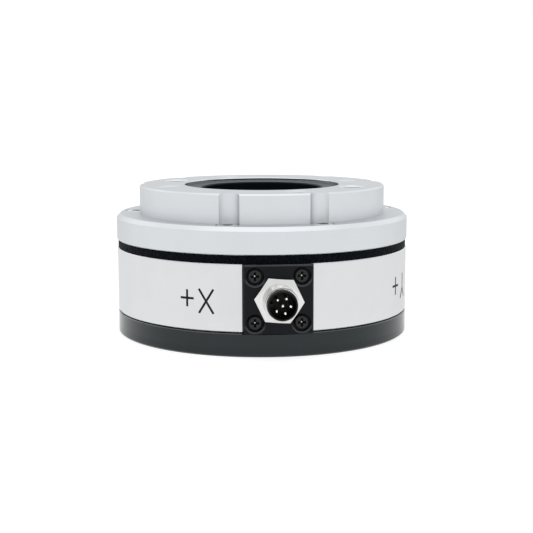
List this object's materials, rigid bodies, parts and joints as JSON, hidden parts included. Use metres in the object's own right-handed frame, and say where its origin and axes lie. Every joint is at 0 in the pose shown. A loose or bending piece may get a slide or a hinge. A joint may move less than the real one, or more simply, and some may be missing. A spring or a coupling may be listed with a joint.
{
  "type": "force torque sensor",
  "caption": "Round six-axis force torque sensor for a robot wrist, with a bolted tool flange, a centring bore, a black base and a threaded signal connector on its side.",
  "frame": {"origin": "centre of the face that bolts to the robot, on the sensor's axis", "axes": "+Z along the sensor's axis from the robot towards the tool flange, -Y along the signal connector, outwards"},
  "size_m": [0.0754, 0.0842, 0.0378],
  "materials": {
    "silver_anodised": "satin anodised",
    "black_anodised": "black anodised",
    "element_alloy": "fine machined",
    "screw_steel": "bright",
    "black_steel": "blackened",
    "nickel": "nickel plated",
    "gold": "gold plated",
    "black_plastic": "moulded",
    "black_rubber": "matt",
    "board": "solder mask",
    "chip_plastic": "moulded",
    "ceramic": "matt",
    "gauge_film": "film",
    "wire_jacket": "extruded"
  },
  "bodies": {
    "root": {"base_plate": "black_anodised", "body_shell": "silver_anodised", "base_gasket": "black_rubber", "flange_seal": "black_rubber", "tool_flange": "silver_anodised", "flange_screws": "screw_steel", "centre_cap": "black_anodised", "cap_ring_seal": "black_rubber", "sensing_element": "element_alloy", "strain_gauges": "gauge_film", "hub_screws": "black_steel", "hub_pins": "screw_steel", "base_screws": "screw_steel", "connector_plate": "black_anodised", "connector_gasket": "black_rubber", "plate_screws": "black_steel", "connector_body": "nickel", "connector_ring_seal": "black_rubber", "connector_insert": "black_plastic", "contact_pins": "gold", "connector_nut": "nickel", "amplifier_board": "board", "board_standoffs": "screw_steel", "board_screws": "screw_steel", "converter_chips": "chip_plastic", "processor_chip": "chip_plastic", "transceiver_chip": "chip_plastic", "regulator_chip": "chip_plastic", "board_passives": "ceramic", "signal_header": "black_plastic", "signal_wires": "wire_jacket", "gauge_wires": "wire_jacket"}
  },
  "joints": []
}
